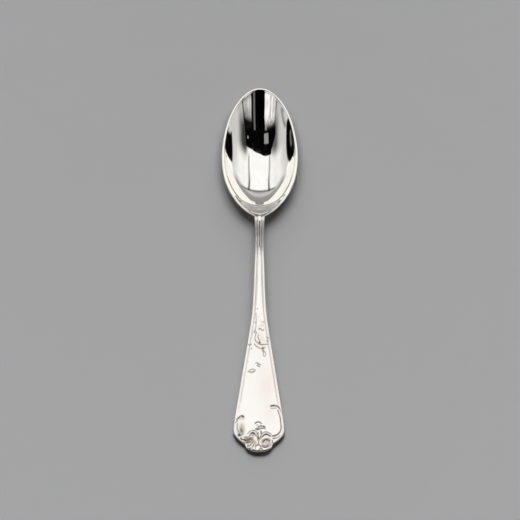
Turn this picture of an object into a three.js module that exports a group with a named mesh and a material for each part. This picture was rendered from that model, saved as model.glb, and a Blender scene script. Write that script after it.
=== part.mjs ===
import * as THREE from "three";

// Sizes in millimetres. +Y runs from the handle end to the bowl tip, +Z is up, the table is z = 0.

// Plan of the bowl
const overallLength = 150;
const bowlLength = 56.2;
const bowlWidth = 30.7;
const rimWidth = 0.85;
const eggSkew = 0.15;
const eggTurn = 1.8;
const eggTaper = 0.28;

// Hollow of the bowl, its edge, and the land behind that edge at the heel
const bowlDepth = 6.9;
const depthLean = 0.25;
const bowlRoundness = 2.3;
const heelLip = 1.2;
const lipSoft = 0.03;
const heelSoft = 0.065;
const heelSoftFrom = 3;
const heelSoftTo = 16;
const hollowBlend = 3;
const edgeLip = 2.8;
const edgeInset = 0.25;
const edgeSoft = 0.42;
const edgeBlend = 0.15;
const landAt = 5.5;
const landRadius = 13;
const landSlope = 0.46;
const landFadeFrom = 6;
const landFadeTo = 14;

// Back of the bowl and the drop
const rimEdge = 1.0;
const rimEdgeRun = 4;
const restSink = 0.15;
const dropLength = 14;
const dropSpread = 2.2;
const spineShare = 0.92;
const spineRoundness = 1.3;

// Plan of the handle
const endWidth = 19.5;
const endCornerSpare = 0.2;
const endFlareSpare = 0.4;
const cornerBlend = 0.2;
const cornerBlendFrom = 1;
const lobeWidth = 10.6;
const lobeDepth = 2.9;
const cornerDepth = 6.1;
const bluntHalf = 0.6;
const waistWidth = 5.6;
const waistAt = 54;
const waistBlend = 0.27;
const neckWidth = 3.3;
const neckTaperEnd = 9;
const neckLength = 7;
const neckRise = 1.5;
const shoulderFlare = 0.45;
const shoulderFrom = 8;
const shoulderTo = 1;
const shoulderRun = 9;
const shoulderFillet = 0.12;
const tipRun = 3;
const terminalLength = 22;

// Side profile
const endThickness = 2.3;
const endFlat = 3;
const endSlope = 0.05;
const neckThickness = 3.4;
const handleEdge = 1.7;
const crestHeight = 9.9;
const crestBehindHeel = 9;
const heelHeight = 9.3;
const heelSlope = -0.1;
const tipHeight = 9.6;
const tipSlope = 0.07;
const crown = 0.25;
const edgeRound = 0.4;

// Threads along the handle edges and reeds on the stem
const threadWidth = 1.25;
const threadRise = 0.16;
const threadShare = 0.62;
const threadBlend = 0.12;
const grooveDepth = 0.22;
const grooveShare = 0.2;
const threadsFrom = 13.6;
const threadsStop = 4;
const threadsGone = 1;
const reedFrom = 2;
const reedTo = 3;

// Struck ornament: places are shares of half the end width across and of the terminal length along
const scrollRise = 0.24;
const scrollWidth = 0.5;
const sprayRise = 0.16;
const sprayWidth = 0.42;
const carvingInset = 0.9;
const shell = {
  across: -0.07, along: 0.255, near: 1.2, far: 5.6, fade: 1, from: 178, to: 262, ribs: 5, rise: 0.3,
};
const flower = {
  across: 0.05, along: 0.427, radius: 1.75, petals: 5, dip: 0.2, turn: 0.35, rise: 0.4,
};
const cartouche = {
  across: 0.28, along: 0.157, long: 2.25, short: 1.65, turn: 18, ring: 0.86, band: 0.16, rise: 0.3,
};
const scrolls = [
  [[0.47, 0.78], [0.72, 0.77], [0.85, 0.71], [0.92, 0.56], [0.94, 0.43], [0.87, 0.33], [0.55, 0.25]],
  [[-0.61, 0.59], [-0.7, 0.6], [-0.84, 0.55], [-0.93, 0.46], [-0.92, 0.38], [-0.71, 0.27], [-0.64, 0.3]],
  [[-0.44, 0.25], [-0.4, 0.31], [-0.26, 0.36], [-0.11, 0.34], [-0.06, 0.29]],
  [[0.08, 0.24], [0.17, 0.31], [0.31, 0.33], [0.46, 0.3]],
];
const sprays = [
  [[-0.15, 2.14], [-0.23, 2.07], [-0.25, 2], [-0.16, 1.92], [-0.02, 1.88], [0.16, 1.87], [0.29, 1.91]],
  [[-0.02, 2.07], [0.06, 2.03], [0.09, 1.97], [0.19, 1.95]],
  [[0.06, 2.44], [0.01, 2.35], [0.07, 2.26], [0.01, 2.19]],
  [[0.19, 1.78], [0.23, 1.73], [0.21, 1.69]],
  [[-0.4, 1.87], [-0.33, 1.85], [-0.32, 1.8]],
  [[-0.41, 1.58], [-0.31, 1.55], [-0.25, 1.51]],
  [[-0.41, 1.42], [-0.29, 1.44], [-0.15, 1.43]],
  [[-0.12, 1.55], [-0.03, 1.54], [0.05, 1.51]],
];

// Facets
const bowlHeelRows = 14;
const bowlRows = 32;
const bowlInnerColumns = 11;
const bowlRimColumns = 5;
const bowlBackColumns = 22;
const neckRows = 12;
const stemRows = 18;
const handleRows = 40;
const lobeRows = 9;
const terminalRows = 34;
const stemColumns = 8;
const handleMiddleColumns = 22;
const terminalColumns = 30;
const undersideColumns = 10;
const strokeSteps = 10;
const threadColumns = [0, 0.22, 0.6, 1, 1.3];
const edgeColumnLeast = 0.3;
const edgeColumnTip = 0.9;
const edgeColumnWide = 0.95;
const slopeStep = 0.02;
const leastSlope = 0.01;

// Stations along the length
const endY = -overallLength / 2;
const tipY = overallLength / 2;
const heelY = tipY - bowlLength;
const crestY = heelY - crestBehindHeel;
const flatY = endY + endFlat;
const neckTopY = heelY + neckRise;
const neckLowY = heelY - neckLength;
const waistY = endY + waistAt;
const terminalY = endY + terminalLength;
const taperEndY = heelY - neckTaperEnd;
const widestY = endY + lobeDepth + cornerDepth;
const bowlHalf = bowlWidth / 2;
const innerHalf = bowlHalf - rimWidth;
const endHalf = endWidth / 2;
const lobeHalf = lobeWidth / 2;
const waistHalf = waistWidth / 2;
const neckHalf = neckWidth / 2;

const clamp = THREE.MathUtils.clamp;
const smooth = THREE.MathUtils.smoothstep;
const lerp = THREE.MathUtils.lerp;
const mapLinear = THREE.MathUtils.mapLinear;

function softMax(a, b, k) {
  return (a + b) / 2 + Math.hypot((a - b) / 2, k);
}

function softMin(a, b, k) {
  return (a + b) / 2 - Math.hypot((a - b) / 2, k);
}

// Cubic between two heights with a slope given at each end
function hermite(y, ya, za, sa, yb, zb, sb) {
  const h = yb - ya;
  const u = (y - ya) / h;
  const rise = u * u * (3 - 2 * u);
  return za * (1 - rise) + zb * rise + u * (1 - u) * h * ((1 - u) * sa - u * sb);
}

// Squared half width of an egg as a share of its widest, below zero past both ends
function eggShare(y, fromY, toY) {
  const v = (fromY + toY - 2 * y) / (toY - fromY);
  const c = clamp(v, -1, 1);
  return (1 - v * v) * (1 + eggSkew * c * (1 - eggTurn * c * c) - eggTaper * c ** 4);
}

function bowlOutline(y) {
  const share = eggShare(y, heelY, tipY);
  return y < heelY ? 0 : Math.sqrt(Math.max(0, share) * bowlHalf ** 2 + bluntHalf ** 2);
}

// Half width of the handle: lobed end, straight flare to the waist, slim stem to the neck
function handleHalf(y) {
  const lobeIn = clamp((endY + lobeDepth - y) / lobeDepth, 0, 1);
  const cornerIn = clamp((widestY - y) / cornerDepth, 0, 1);
  const lobe = Math.hypot(lobeHalf * Math.sqrt(1 - lobeIn * lobeIn), bluntHalf * lobeIn);
  const corner = lerp(endHalf + endCornerSpare, lobeHalf, cornerIn * cornerIn);
  const end = y < endY + lobeDepth ? lobe : corner;
  const flare = mapLinear(y, widestY, waistY, endHalf + endFlareSpare, waistHalf);
  const stem = mapLinear(Math.min(y, taperEndY), waistY, taperEndY, waistHalf, neckHalf);
  const shoulder = shoulderFlare * smooth(y, heelY - shoulderFrom, heelY + shoulderTo);
  const blend = cornerBlend * clamp(y - endY - cornerBlendFrom, 0, 1);
  return softMin(end, softMax(flare, stem + shoulder, waistBlend), blend);
}

// Half width of the whole outline, with a fillet at the shoulders
function outlineHalf(y) {
  const shank = handleHalf(y) * (1 - smooth(y, heelY, heelY + shoulderRun));
  const fillet = shoulderFillet * smooth(y, neckLowY, heelY) * smooth(tipY - y, 0, tipRun);
  return softMax(bowlOutline(y), shank, fillet);
}

// Height of the top line: flat end, long arch to the crest, fall to the heel, rim rising to the tip
function topLine(y) {
  if (y < flatY) {
    return endThickness;
  }
  if (y < crestY) {
    return hermite(y, flatY, endThickness, endSlope, crestY, crestHeight, 0);
  }
  if (y < heelY) {
    return hermite(y, crestY, crestHeight, 0, heelY, heelHeight, heelSlope);
  }
  return hermite(y, heelY, heelHeight, heelSlope, tipY, tipHeight, tipSlope);
}

// Share of the full depth, its start eased by soft
function hollow(q, soft) {
  const eased = (q + Math.hypot(q, soft)) / 2;
  return 1 - Math.max(0, 1 - eased) ** (bowlRoundness / 2);
}

// The bowl is deeper toward the heel and shallower toward the tip
function leanAt(y) {
  return 1 + depthLean * clamp((heelY + tipY - 2 * y) / bowlLength, -1, 1);
}

// Share of the egg that ends a lip short of the heel and a rim short of the tip
function innerShare(y, lip) {
  return eggShare(y, heelY + lip, tipY - rimWidth);
}

// Distance inside that egg, from its share and the slope of the share
function insideEgg(x, y, lip, half) {
  const rise = innerShare(y + slopeStep, lip) - innerShare(y - slopeStep, lip);
  const slope = rise / (2 * slopeStep);
  const q = innerShare(y, lip) - (x / half) ** 2;
  return q / Math.max(leastSlope, Math.hypot((2 * x) / half ** 2, slope));
}

// 1 inside the hollow, 0 on the rim and on the land behind a rounded line at the heel
function hollowEdge(x, y) {
  const rounded = (y - heelY - landAt - (x * x) / (2 * landRadius)) / Math.hypot(1, x / landRadius);
  const inside = softMin(insideEgg(x, y, edgeLip, innerHalf - edgeInset), rounded, edgeBlend);
  return smooth(inside, -edgeSoft, edgeSoft);
}

// How far the inside of the bowl lies below the rim: the land falls evenly, the hollow is a deep egg
function bowlFall(x, y) {
  const q = innerShare(y, heelLip) - (x / innerHalf) ** 2;
  const soft = lerp(heelSoft, lipSoft, smooth(y, heelY + heelSoftFrom, heelY + heelSoftTo));
  const deep = bowlDepth * leanAt(y) * hollow(q, soft);
  const fade = 1 - smooth(y, heelY + landFadeFrom, heelY + landFadeTo);
  const land = landSlope * fade * Math.max(0, insideEgg(x, y, heelLip, innerHalf));
  return smooth(y, heelY - hollowBlend, heelY + hollowBlend) * lerp(land, deep, hollowEdge(x, y));
}

// Distance inside the outline, from its squared half width and the slope of that square
function edgeDistance(x, y) {
  const ahead = outlineHalf(Math.min(y + slopeStep, tipY)) ** 2;
  const behind = outlineHalf(Math.max(y - slopeStep, endY)) ** 2;
  const slope = (ahead - behind) / (4 * slopeStep);
  return Math.max(0, outlineHalf(y) ** 2 - x * x) / (2 * Math.hypot(x, slope) + leastSlope);
}

function rounding(x, y) {
  const inward = edgeRound - Math.min(edgeRound, edgeDistance(x, y));
  return edgeRound - Math.sqrt(edgeRound ** 2 - inward ** 2);
}

function threadAt(y) {
  return softMin(threadWidth, threadShare * outlineHalf(y), threadBlend);
}

// Threads along both edges, the groove beside each, and the middle reed of the stem
function reeding(x, y) {
  const w = outlineHalf(y);
  const band = threadAt(y);
  const d = w - Math.abs(x);
  const start = smooth(y, endY + threadsFrom, terminalY);
  const stop = 1 - smooth(y, heelY - threadsStop, heelY - threadsGone);
  const bead = d < band ? threadRise * (1 - (2 * d / band - 1) ** 2) : 0;
  const groove = grooveDepth * Math.exp(-(((d - band) / (grooveShare * band)) ** 2));
  const reedRise = threadRise * smooth(y, waistY - reedFrom, waistY + reedTo);
  const reed = d > band ? reedRise * (1 - (x / (w - band)) ** 2) : 0;
  return start * stop * (bead - groove + reed);
}

function onHandle([across, along]) {
  return new THREE.Vector2(across * endHalf, endY + along * terminalLength);
}

function strokeLine(points) {
  return new THREE.SplineCurve(points.map(onHandle)).getPoints(strokeSteps * points.length);
}

const scrollPoints = scrolls.flatMap(strokeLine);
const sprayPoints = sprays.flatMap(strokeLine);

// Raised strokes: a bell curve of the distance to the nearest point of any line
function strokeRelief(x, y, points, rise, width) {
  const near = Math.min(...points.map((p) => (p.x - x) ** 2 + (p.y - y) ** 2));
  return rise * Math.exp(-near / width ** 2);
}

// Ribs fanned round a point, as a cosine of the angle
function shellRelief(x, y) {
  const from = onHandle([shell.across, shell.along]);
  const r = Math.hypot(x - from.x, y - from.y);
  const angle = THREE.MathUtils.radToDeg(Math.atan2(y - from.y, x - from.x));
  const turn = (THREE.MathUtils.euclideanModulo(angle, 360) - shell.from) / (shell.to - shell.from);
  const inner = smooth(r, shell.near, shell.near + shell.fade);
  const ring = inner * (1 - smooth(r, shell.far - shell.fade, shell.far));
  const rib = (1 - Math.cos(2 * Math.PI * shell.ribs * turn)) / 2;
  return turn > 0 && turn < 1 ? shell.rise * ring * rib : 0;
}

// Petals round a centre, as a cosine of the angle
function flowerRelief(x, y) {
  const middle = onHandle([flower.across, flower.along]);
  const r = Math.hypot(x - middle.x, y - middle.y) / flower.radius;
  const angle = Math.atan2(y - middle.y, x - middle.x);
  const petal = 1 - flower.dip * (1 - Math.cos(flower.petals * angle + flower.turn));
  return flower.rise * (1 - smooth(r, petal / 2, petal));
}

// Oval ring
function cartoucheRelief(x, y) {
  const turned = new THREE.Vector2(x, y).sub(onHandle([cartouche.across, cartouche.along]));
  turned.rotateAround(new THREE.Vector2(), -THREE.MathUtils.degToRad(cartouche.turn));
  const r = Math.hypot(turned.x / cartouche.long, turned.y / cartouche.short);
  return cartouche.rise * Math.exp(-(((r - cartouche.ring) / cartouche.band) ** 2));
}

function carving(x, y) {
  const strokes = strokeRelief(x, y, scrollPoints, scrollRise, scrollWidth);
  const spray = strokeRelief(x, y, sprayPoints, sprayRise, sprayWidth);
  const inset = smooth(edgeDistance(x, y), 0, carvingInset);
  return inset * (strokes + spray + shellRelief(x, y) + flowerRelief(x, y) + cartoucheRelief(x, y));
}

function topHeight(x, y) {
  const crownAt = crown * (1 - smooth(y, neckLowY, heelY + heelLip));
  const across = x / outlineHalf(y);
  const struck = y < waistY ? carving(x, y) : 0;
  return topLine(y) - crownAt * across ** 2 - bowlFall(x, y) + struck + reeding(x, y) - rounding(x, y);
}

// Deepest back of the bowl that still only touches the table
const backStations = evenRows(heelY + tipRun, tipY - tipRun, bowlRows);
const backDepth = Math.min(...backStations.map((y) => {
  const share = hollow(eggShare(y, heelY, tipY), 0) * leanAt(y);
  return (topLine(y) - rimEdge + restSink) / share;
}));

// Underside: even plate, bowl back, and a rounded spine that ends in the drop under the heel
function bottomHeight(x, y) {
  const q = y < heelY ? 0 : eggShare(y, heelY, tipY) - (x / bowlHalf) ** 2;
  const edge = lerp(handleEdge, rimEdge, smooth(y, neckLowY, heelY + rimEdgeRun));
  const plate = lerp(endThickness, neckThickness, smooth(y, waistY, neckLowY)) + restSink;
  const u = clamp((y - heelY) / dropLength, 0, 1);
  const tongue = (neckHalf + shoulderFlare + dropSpread * u) * Math.sqrt(1 - u * u);
  const spineHalf = u > 0 ? tongue : spineShare * outlineHalf(y);
  const t = Math.min(1, Math.abs(x) / Math.max(spineHalf, restSink));
  const spine = (plate - edge) * (1 - u * u) * (1 - t * t) ** spineRoundness;
  const back = backDepth * leanAt(y) * hollow(Math.max(0, q), 0);
  return Math.max(0, topLine(y) - edge - back - spine + rounding(x, y));
}

// Places across a section run from -1 to 1 of its half width
function mirrored(places) {
  return [...places.map((p) => -p).reverse(), 0, ...places];
}

function quarterSteps(count) {
  return Array.from({ length: count }, (_, j) => Math.sin(((j + 1) / count) * (Math.PI / 2)));
}

// Columns gather at the edge of the hollow and at the rim
function bowlColumns(y) {
  const w = outlineHalf(y);
  const egg = (innerHalf - edgeInset) * Math.sqrt(Math.max(0, innerShare(y, edgeLip)));
  const rounded = Math.sqrt(2 * landRadius * Math.max(0, y - heelY - landAt));
  const most = lerp(edgeColumnTip, edgeColumnWide, smooth(w, 0, bowlHalf));
  const edge = clamp(Math.min(egg, rounded) / w, edgeColumnLeast, most);
  const inner = quarterSteps(bowlInnerColumns).map((s) => s * edge);
  const rim = quarterSteps(bowlRimColumns).map((s) => edge + s * (1 - edge));
  return mirrored([...inner, ...rim]);
}

function evenColumns(count) {
  return () => mirrored(quarterSteps(count / 2));
}

// Columns follow the thread along each edge and lie evenly between
function handleColumns(count) {
  return (y) => {
    const band = threadAt(y) / outlineHalf(y);
    const border = threadColumns.map((f) => f * band);
    const inner = 1 - border[border.length - 1];
    const middle = Array.from({ length: count - 1 }, (_, j) => inner * (2 * (j + 1) / count - 1));
    return [...border.map((b) => b - 1), ...middle, ...border.map((b) => 1 - b).reverse()];
  };
}

function evenRows(fromY, toY, count) {
  return Array.from({ length: count + 1 }, (_, i) => lerp(fromY, toY, i / count));
}

const silver = new THREE.MeshStandardMaterial({ color: 0xdcdad4, metalness: 1, roughness: 0.14 });

// Solid between two planes across the length, skinned row by row and capped at both planes
function zone(name, rows, topColumns, bottomColumns) {
  const positions = [];
  const index = [];
  const loops = rows.map((y) => {
    const w = outlineHalf(y);
    const put = (x, z) => positions.push(x, y, z) / 3 - 1;
    const top = topColumns(y).map((t) => put(t * w, topHeight(t * w, y)));
    const bottom = bottomColumns(y).map((t) => put(t * w, bottomHeight(t * w, y)));
    return { top, bottom, ring: [...top, ...bottom.slice().reverse()] };
  });
  for (let i = 0; i + 1 < loops.length; i += 1) {
    const a = loops[i].ring;
    const b = loops[i + 1].ring;
    for (let k = 0; k < a.length; k += 1) {
      const n = (k + 1) % a.length;
      index.push(a[k], a[n], b[n], a[k], b[n], b[k]);
    }
  }
  const cap = ({ top, bottom }, flip) => {
    let i = 0;
    let j = 0;
    while (i + 1 < top.length || j + 1 < bottom.length) {
      const canTop = i + 1 < top.length;
      const canBottom = j + 1 < bottom.length;
      const onTop = canTop && (!canBottom || positions[3 * top[i + 1]] <= positions[3 * bottom[j + 1]]);
      const face = onTop ? [top[i], top[i + 1], bottom[j]] : [top[i], bottom[j + 1], bottom[j]];
      index.push(...(flip ? face.reverse() : face));
      i += onTop ? 1 : 0;
      j += onTop ? 0 : 1;
    }
  };
  cap(loops[0], true);
  cap(loops[loops.length - 1], false);
  const geometry = new THREE.BufferGeometry();
  geometry.setAttribute("position", new THREE.Float32BufferAttribute(positions, 3));
  geometry.setIndex(index);
  geometry.computeVertexNormals();
  const mesh = new THREE.Mesh(geometry, silver);
  mesh.name = name;
  return mesh;
}

const heelEndY = heelY + landAt + hollowBlend;
const bowlStations = [
  ...evenRows(neckTopY, heelEndY, bowlHeelRows),
  ...quarterSteps(bowlRows).map((s) => lerp(heelEndY, tipY, s)),
];
const lobeY = endY + lobeDepth;
const terminalStations = [
  ...evenRows(endY, lobeY, lobeRows),
  ...evenRows(lobeY, terminalY, terminalRows).slice(1),
];
const underside = evenColumns(undersideColumns);

const group = new THREE.Group();
group.name = "baby_spoon";
group.add(
  zone("bowl", bowlStations, bowlColumns, evenColumns(bowlBackColumns)),
  zone("neck", evenRows(neckLowY, neckTopY, neckRows), handleColumns(stemColumns), underside),
  zone("stem", evenRows(waistY, neckLowY, stemRows), handleColumns(stemColumns), underside),
  zone("handle", evenRows(terminalY, waistY, handleRows), handleColumns(handleMiddleColumns), underside),
  zone("terminal", terminalStations, handleColumns(terminalColumns), underside),
);

export default group;
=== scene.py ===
import math
import bmesh
import bpy
import numpy as np
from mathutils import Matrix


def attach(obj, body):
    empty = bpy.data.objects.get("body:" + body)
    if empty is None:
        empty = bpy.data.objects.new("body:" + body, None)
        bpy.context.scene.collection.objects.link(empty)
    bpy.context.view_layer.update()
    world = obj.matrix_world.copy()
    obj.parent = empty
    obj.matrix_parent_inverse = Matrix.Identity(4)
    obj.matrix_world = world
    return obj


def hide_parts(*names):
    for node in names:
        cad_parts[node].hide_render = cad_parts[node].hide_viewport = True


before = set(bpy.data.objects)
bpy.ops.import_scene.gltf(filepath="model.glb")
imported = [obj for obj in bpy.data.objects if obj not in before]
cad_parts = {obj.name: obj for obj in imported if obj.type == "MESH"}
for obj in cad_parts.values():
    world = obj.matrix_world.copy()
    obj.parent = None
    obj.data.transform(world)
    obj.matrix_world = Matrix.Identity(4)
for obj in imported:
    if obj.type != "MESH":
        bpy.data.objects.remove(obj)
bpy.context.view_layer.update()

scene = bpy.context.scene
print("frame loaded:", sorted(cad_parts))

# sizes are millimetres, written to the meshes in metres; floor, lamps and silver are in metres
toMetres = 0.001

spoonPlan = {
    "length": 150.0, "bowlLength": 56.2, "bowlWidth": 30.7, "eggSkew": 0.15, "eggTaper": 0.28,
    "endWidth": 19.5, "lobeWidth": 10.6, "lobeDepth": 2.9, "cornerDepth": 6.1,
    "cornerSpread": 1.02, "flareSpread": 1.04, "waistWidth": 5.6, "waistAt": 54.0, "neckWidth": 3.3,
    "neckLength": 7.0, "neckRise": 1.5, "slimBehindHeel": 9.0, "stemSwell": 0.45, "terminalLength": 22.0,
    "waistSoft": 0.27, "cornerSoft": 0.2, "heelFillet": 0.12,
}
spoonProfile = {
    "endThickness": 2.3, "endFlat": 3.0, "endSlope": 0.05, "neckThickness": 3.4, "handleEdge": 1.7,
    "crestHeight": 9.9, "crestBehindHeel": 9.0, "heelHeight": 9.3, "heelSlope": -0.10,
    "tipHeight": 9.6, "tipSlope": 0.07, "crown": 0.25,
}
bowlShape = {
    "depth": 6.9, "lean": 0.25, "roundness": 2.3, "rimWidth": 0.85, "rimEdge": 1.0, "heelLip": 1.2,
    "lipSoft": 0.03, "heelSoft": 0.065, "dropLength": 14.0, "dropSpread": 2.2, "spineShare": 0.92,
    "restSink": 0.15, "roll": 0.45, "edgeLip": 2.8, "edgeInset": 0.25, "edgeSoft": 0.42, "landAt": 5.5,
    "landRadius": 13.0, "landSlope": 0.46, "landSoft": 0.15, "spinePower": 1.3,
}
handleEdges = {
    "thread": 1.25, "threadShare": 0.62, "threadSoft": 0.12, "fadeFrom": 0.62, "rise": 0.16,
    "reedFrom": (-2.0, 3.0), "groove": 0.22, "grooveShare": 0.16, "grooveFilm": 0.14,
    "roll": 0.42, "endRoll": 0.3, "endRollReach": (1.5, 6.0),
    "topLean": (-0.5, 0.5), "lowLean": (-0.2, 1.2),
}
heelRamps = {  # where ramps along the length start and end, from the heel
    "swell": (-8.0, 1.0), "shank": (0.0, 9.0), "land": (6.0, 14.0), "reeds": (-2.4, 0.4),
    "soft": (3.0, 16.0), "bowl": (-3.0, 3.0), "markStart": (-0.5, 1.5), "markEnd": (5.0, 11.0),
}

endY = -spoonPlan["length"] / 2
tipY = spoonPlan["length"] / 2
heelY = tipY - spoonPlan["bowlLength"]
crestY = heelY - spoonProfile["crestBehindHeel"]
neckTopY = heelY + spoonPlan["neckRise"]
neckLowY = heelY - spoonPlan["neckLength"]
waistY = endY + spoonPlan["waistAt"]
terminalY = endY + spoonPlan["terminalLength"]
bowlHalf = spoonPlan["bowlWidth"] / 2
innerHalf = bowlHalf - bowlShape["rimWidth"]
endHalf = spoonPlan["endWidth"] / 2
lobeHalf = spoonPlan["lobeWidth"] / 2


def smooth(x, a, b):  # cubic ramp from 0 at a to 1 at b
    t = np.clip((x - a) / (b - a), 0.0, 1.0)
    return t * t * (3.0 - 2.0 * t)


def heelRamp(y, key):  # the same ramp along the length, placed from the heel
    start, stop = heelRamps[key]
    return smooth(y, heelY + start, heelY + stop)


def softMax(a, b, k):  # mean plus the rounded half difference
    return (a + b) / 2 + np.hypot((a - b) / 2, k)


def softMin(a, b, k):  # mean less the rounded half difference
    return (a + b) / 2 - np.hypot((a - b) / 2, k)


def hermite(y, ya, za, sa, yb, zb, sb):  # cubic between two heights with a slope at each end
    h = yb - ya
    u = (y - ya) / h
    rise = u * u * (3.0 - 2.0 * u)
    return za * (1.0 - rise) + zb * rise + u * (1.0 - u) * h * ((1.0 - u) * sa - u * sb)


def eggShape(v):  # one plus a cubic skew along the length, less a quartic that narrows both ends
    return 1.0 + spoonPlan["eggSkew"] * v * (1.0 - 1.8 * v * v) - spoonPlan["eggTaper"] * v ** 4


def eggSquared(y, fromY, toY, half):  # half width squared: parabola times the egg's shape
    v = (fromY + toY - 2.0 * y) / (toY - fromY)
    return np.where(np.abs(v) < 1.0, half * half * (1.0 - v * v) * eggShape(v), 0.0)


def handleHalf(y):  # quarter ellipse lobe, parabola corner, straight flare, slim stem, softly joined
    p = spoonPlan
    e = y - endY
    widestAt = p["lobeDepth"] + p["cornerDepth"]
    lobeIn = np.clip((p["lobeDepth"] - e) / p["lobeDepth"], 0.0, 1.0)
    cornerIn = np.clip((widestAt - e) / p["cornerDepth"], 0.0, 1.0)
    lobe = lobeHalf * np.sqrt(1.0 - lobeIn * lobeIn)
    corner = lobeHalf + (endHalf * p["cornerSpread"] - lobeHalf) * (1.0 - cornerIn * cornerIn)
    end = np.where(e < p["lobeDepth"], lobe, corner)
    waistHalf = p["waistWidth"] / 2
    flareHalf = endHalf * p["flareSpread"]
    flare = flareHalf + (waistHalf - flareHalf) * (e - widestAt) / (p["waistAt"] - widestAt)
    slimAt = heelY - p["slimBehindHeel"] - endY
    along = (np.minimum(e, slimAt) - p["waistAt"]) / (slimAt - p["waistAt"])
    stem = waistHalf + (p["neckWidth"] / 2 - waistHalf) * along
    stem = stem + p["stemSwell"] * heelRamp(y, "swell")
    return softMin(end, softMax(flare, stem, p["waistSoft"]), p["cornerSoft"] * np.clip(e - 1.0, 0.0, 1.0))


def outlineHalf(y):  # larger of the bowl egg and the handle, filleted where they meet
    egg = np.sqrt(eggSquared(y, heelY, tipY, bowlHalf))
    shank = handleHalf(y) * (1.0 - heelRamp(y, "shank"))
    fillet = spoonPlan["heelFillet"] * smooth(y, neckLowY, heelY) * smooth(tipY - y, 0.0, 3.0)
    return softMax(egg, shank, fillet)


def topLine(y):  # side profile: flat end, long arch to the crest, fall to the heel, rim rising to the tip
    p = spoonProfile
    flatY = endY + p["endFlat"]
    arch = hermite(y, flatY, p["endThickness"], p["endSlope"], crestY, p["crestHeight"], 0.0)
    fall = hermite(y, crestY, p["crestHeight"], 0.0, heelY, p["heelHeight"], p["heelSlope"])
    rim = hermite(y, heelY, p["heelHeight"], p["heelSlope"], tipY, p["tipHeight"], p["tipSlope"])
    onHandle = np.where(y < flatY, p["endThickness"], np.where(y < crestY, arch, fall))
    return np.where(y < heelY, onHandle, rim)


def hollowReach(y, lip):  # inner egg's squared half width as a share, below zero past heel and tip
    fromY, toY = heelY + lip, tipY - bowlShape["rimWidth"]
    v = (fromY + toY - 2.0 * y) / (toY - fromY)
    return (1.0 - v * v) * eggShape(np.clip(v, -1.0, 1.0))


def hollow(q, soft):  # one less a power of the distance from the axis, with its start rounded off
    eased = (q + np.sqrt(q * q + soft * soft)) / 2.0
    return 1.0 - np.clip(1.0 - eased, 0.0, 1.0) ** (bowlShape["roundness"] / 2.0)


def leanAt(y):  # deeper toward the heel, shallower toward the tip
    return 1.0 + bowlShape["lean"] * np.clip((heelY + tipY - 2.0 * y) / (tipY - heelY), -1.0, 1.0)


def eggInside(x, y, lip, half):  # distance inside an egg that ends lip short of the heel: value over slope
    step = 0.02
    q = hollowReach(y, lip) - (x / half) ** 2
    slope = (hollowReach(y + step, lip) - hollowReach(y - step, lip)) / (2.0 * step)
    return q / np.maximum(np.hypot(2.0 * x / half ** 2, slope), 0.01)


def hollowEdge(x, y):  # 1 inside the hollow, 0 on the rim and on the land behind a rounded line at the heel
    b = bowlShape
    rounded = y - heelY - b["landAt"] - x * x / (2.0 * b["landRadius"])
    rounded = rounded / np.hypot(1.0, x / b["landRadius"])
    inside = softMin(eggInside(x, y, b["edgeLip"], innerHalf - b["edgeInset"]), rounded, b["landSoft"])
    return smooth(inside, -b["edgeSoft"], b["edgeSoft"])


def landFall(x, y):  # even slope from the rim down to the hollow, at the heel only
    inside = np.maximum(eggInside(x, y, bowlShape["heelLip"], innerHalf), 0.0)
    return bowlShape["landSlope"] * inside * (1.0 - heelRamp(y, "land"))


def reeding(x, y):  # edge bead, groove beside it and middle reed, as parabolas and a bell curve
    h = handleEdges
    w = outlineHalf(y)
    band = softMin(h["thread"], h["threadShare"] * w, h["threadSoft"])  # narrower on the slim stem
    d = w - np.abs(x)
    fade = smooth(y, endY + h["fadeFrom"] * spoonPlan["terminalLength"], terminalY)
    fade = fade * (1.0 - heelRamp(y, "reeds"))
    bead = np.where(d < band, h["rise"] * (1.0 - (2.0 * d / band - 1.0) ** 2), 0.0)
    cut = bell(d - band, h["grooveShare"] * band)
    inner = np.maximum(w - band, 0.05)
    onStem = smooth(y - waistY, *h["reedFrom"])
    reed = np.where(d > band, h["rise"] * onStem * (1.0 - (x / inner) ** 2), 0.0)
    return fade * (bead - h["groove"] * cut + reed), fade * cut


def topHeight(x, y):  # profile less the handle crown and the bowl hollow, plus the struck relief
    b = bowlShape
    onHandle = 1.0 - smooth(y, neckLowY, heelY + b["heelLip"])
    across = x / np.maximum(outlineHalf(y), 0.2)
    q = hollowReach(y, b["heelLip"]) - (x / innerHalf) ** 2
    atHeel = 1.0 - heelRamp(y, "soft")
    soft = b["lipSoft"] + (b["heelSoft"] - b["lipSoft"]) * atHeel
    inBowl = heelRamp(y, "bowl")
    relief, tarnishAndShade = reeding(x, y)
    z = topLine(y) - spoonProfile["crown"] * onHandle * across * across
    edge = hollowEdge(x, y)
    fall = edge * b["depth"] * leanAt(y) * hollow(q, soft) + (1.0 - edge) * landFall(x, y)
    return z - inBowl * fall + relief, tarnishAndShade


def backDepthNow():  # deepest back that still only touches the table
    y = np.linspace(heelY + 2.0, tipY - 2.0, 400)
    reach = hollow(eggSquared(y, heelY, tipY, bowlHalf) / bowlHalf ** 2, 0.0) * leanAt(y)
    return float(np.min((topLine(y) - bowlShape["rimEdge"] + bowlShape["restSink"]) / reach))


backDepth = backDepthNow()


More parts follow.
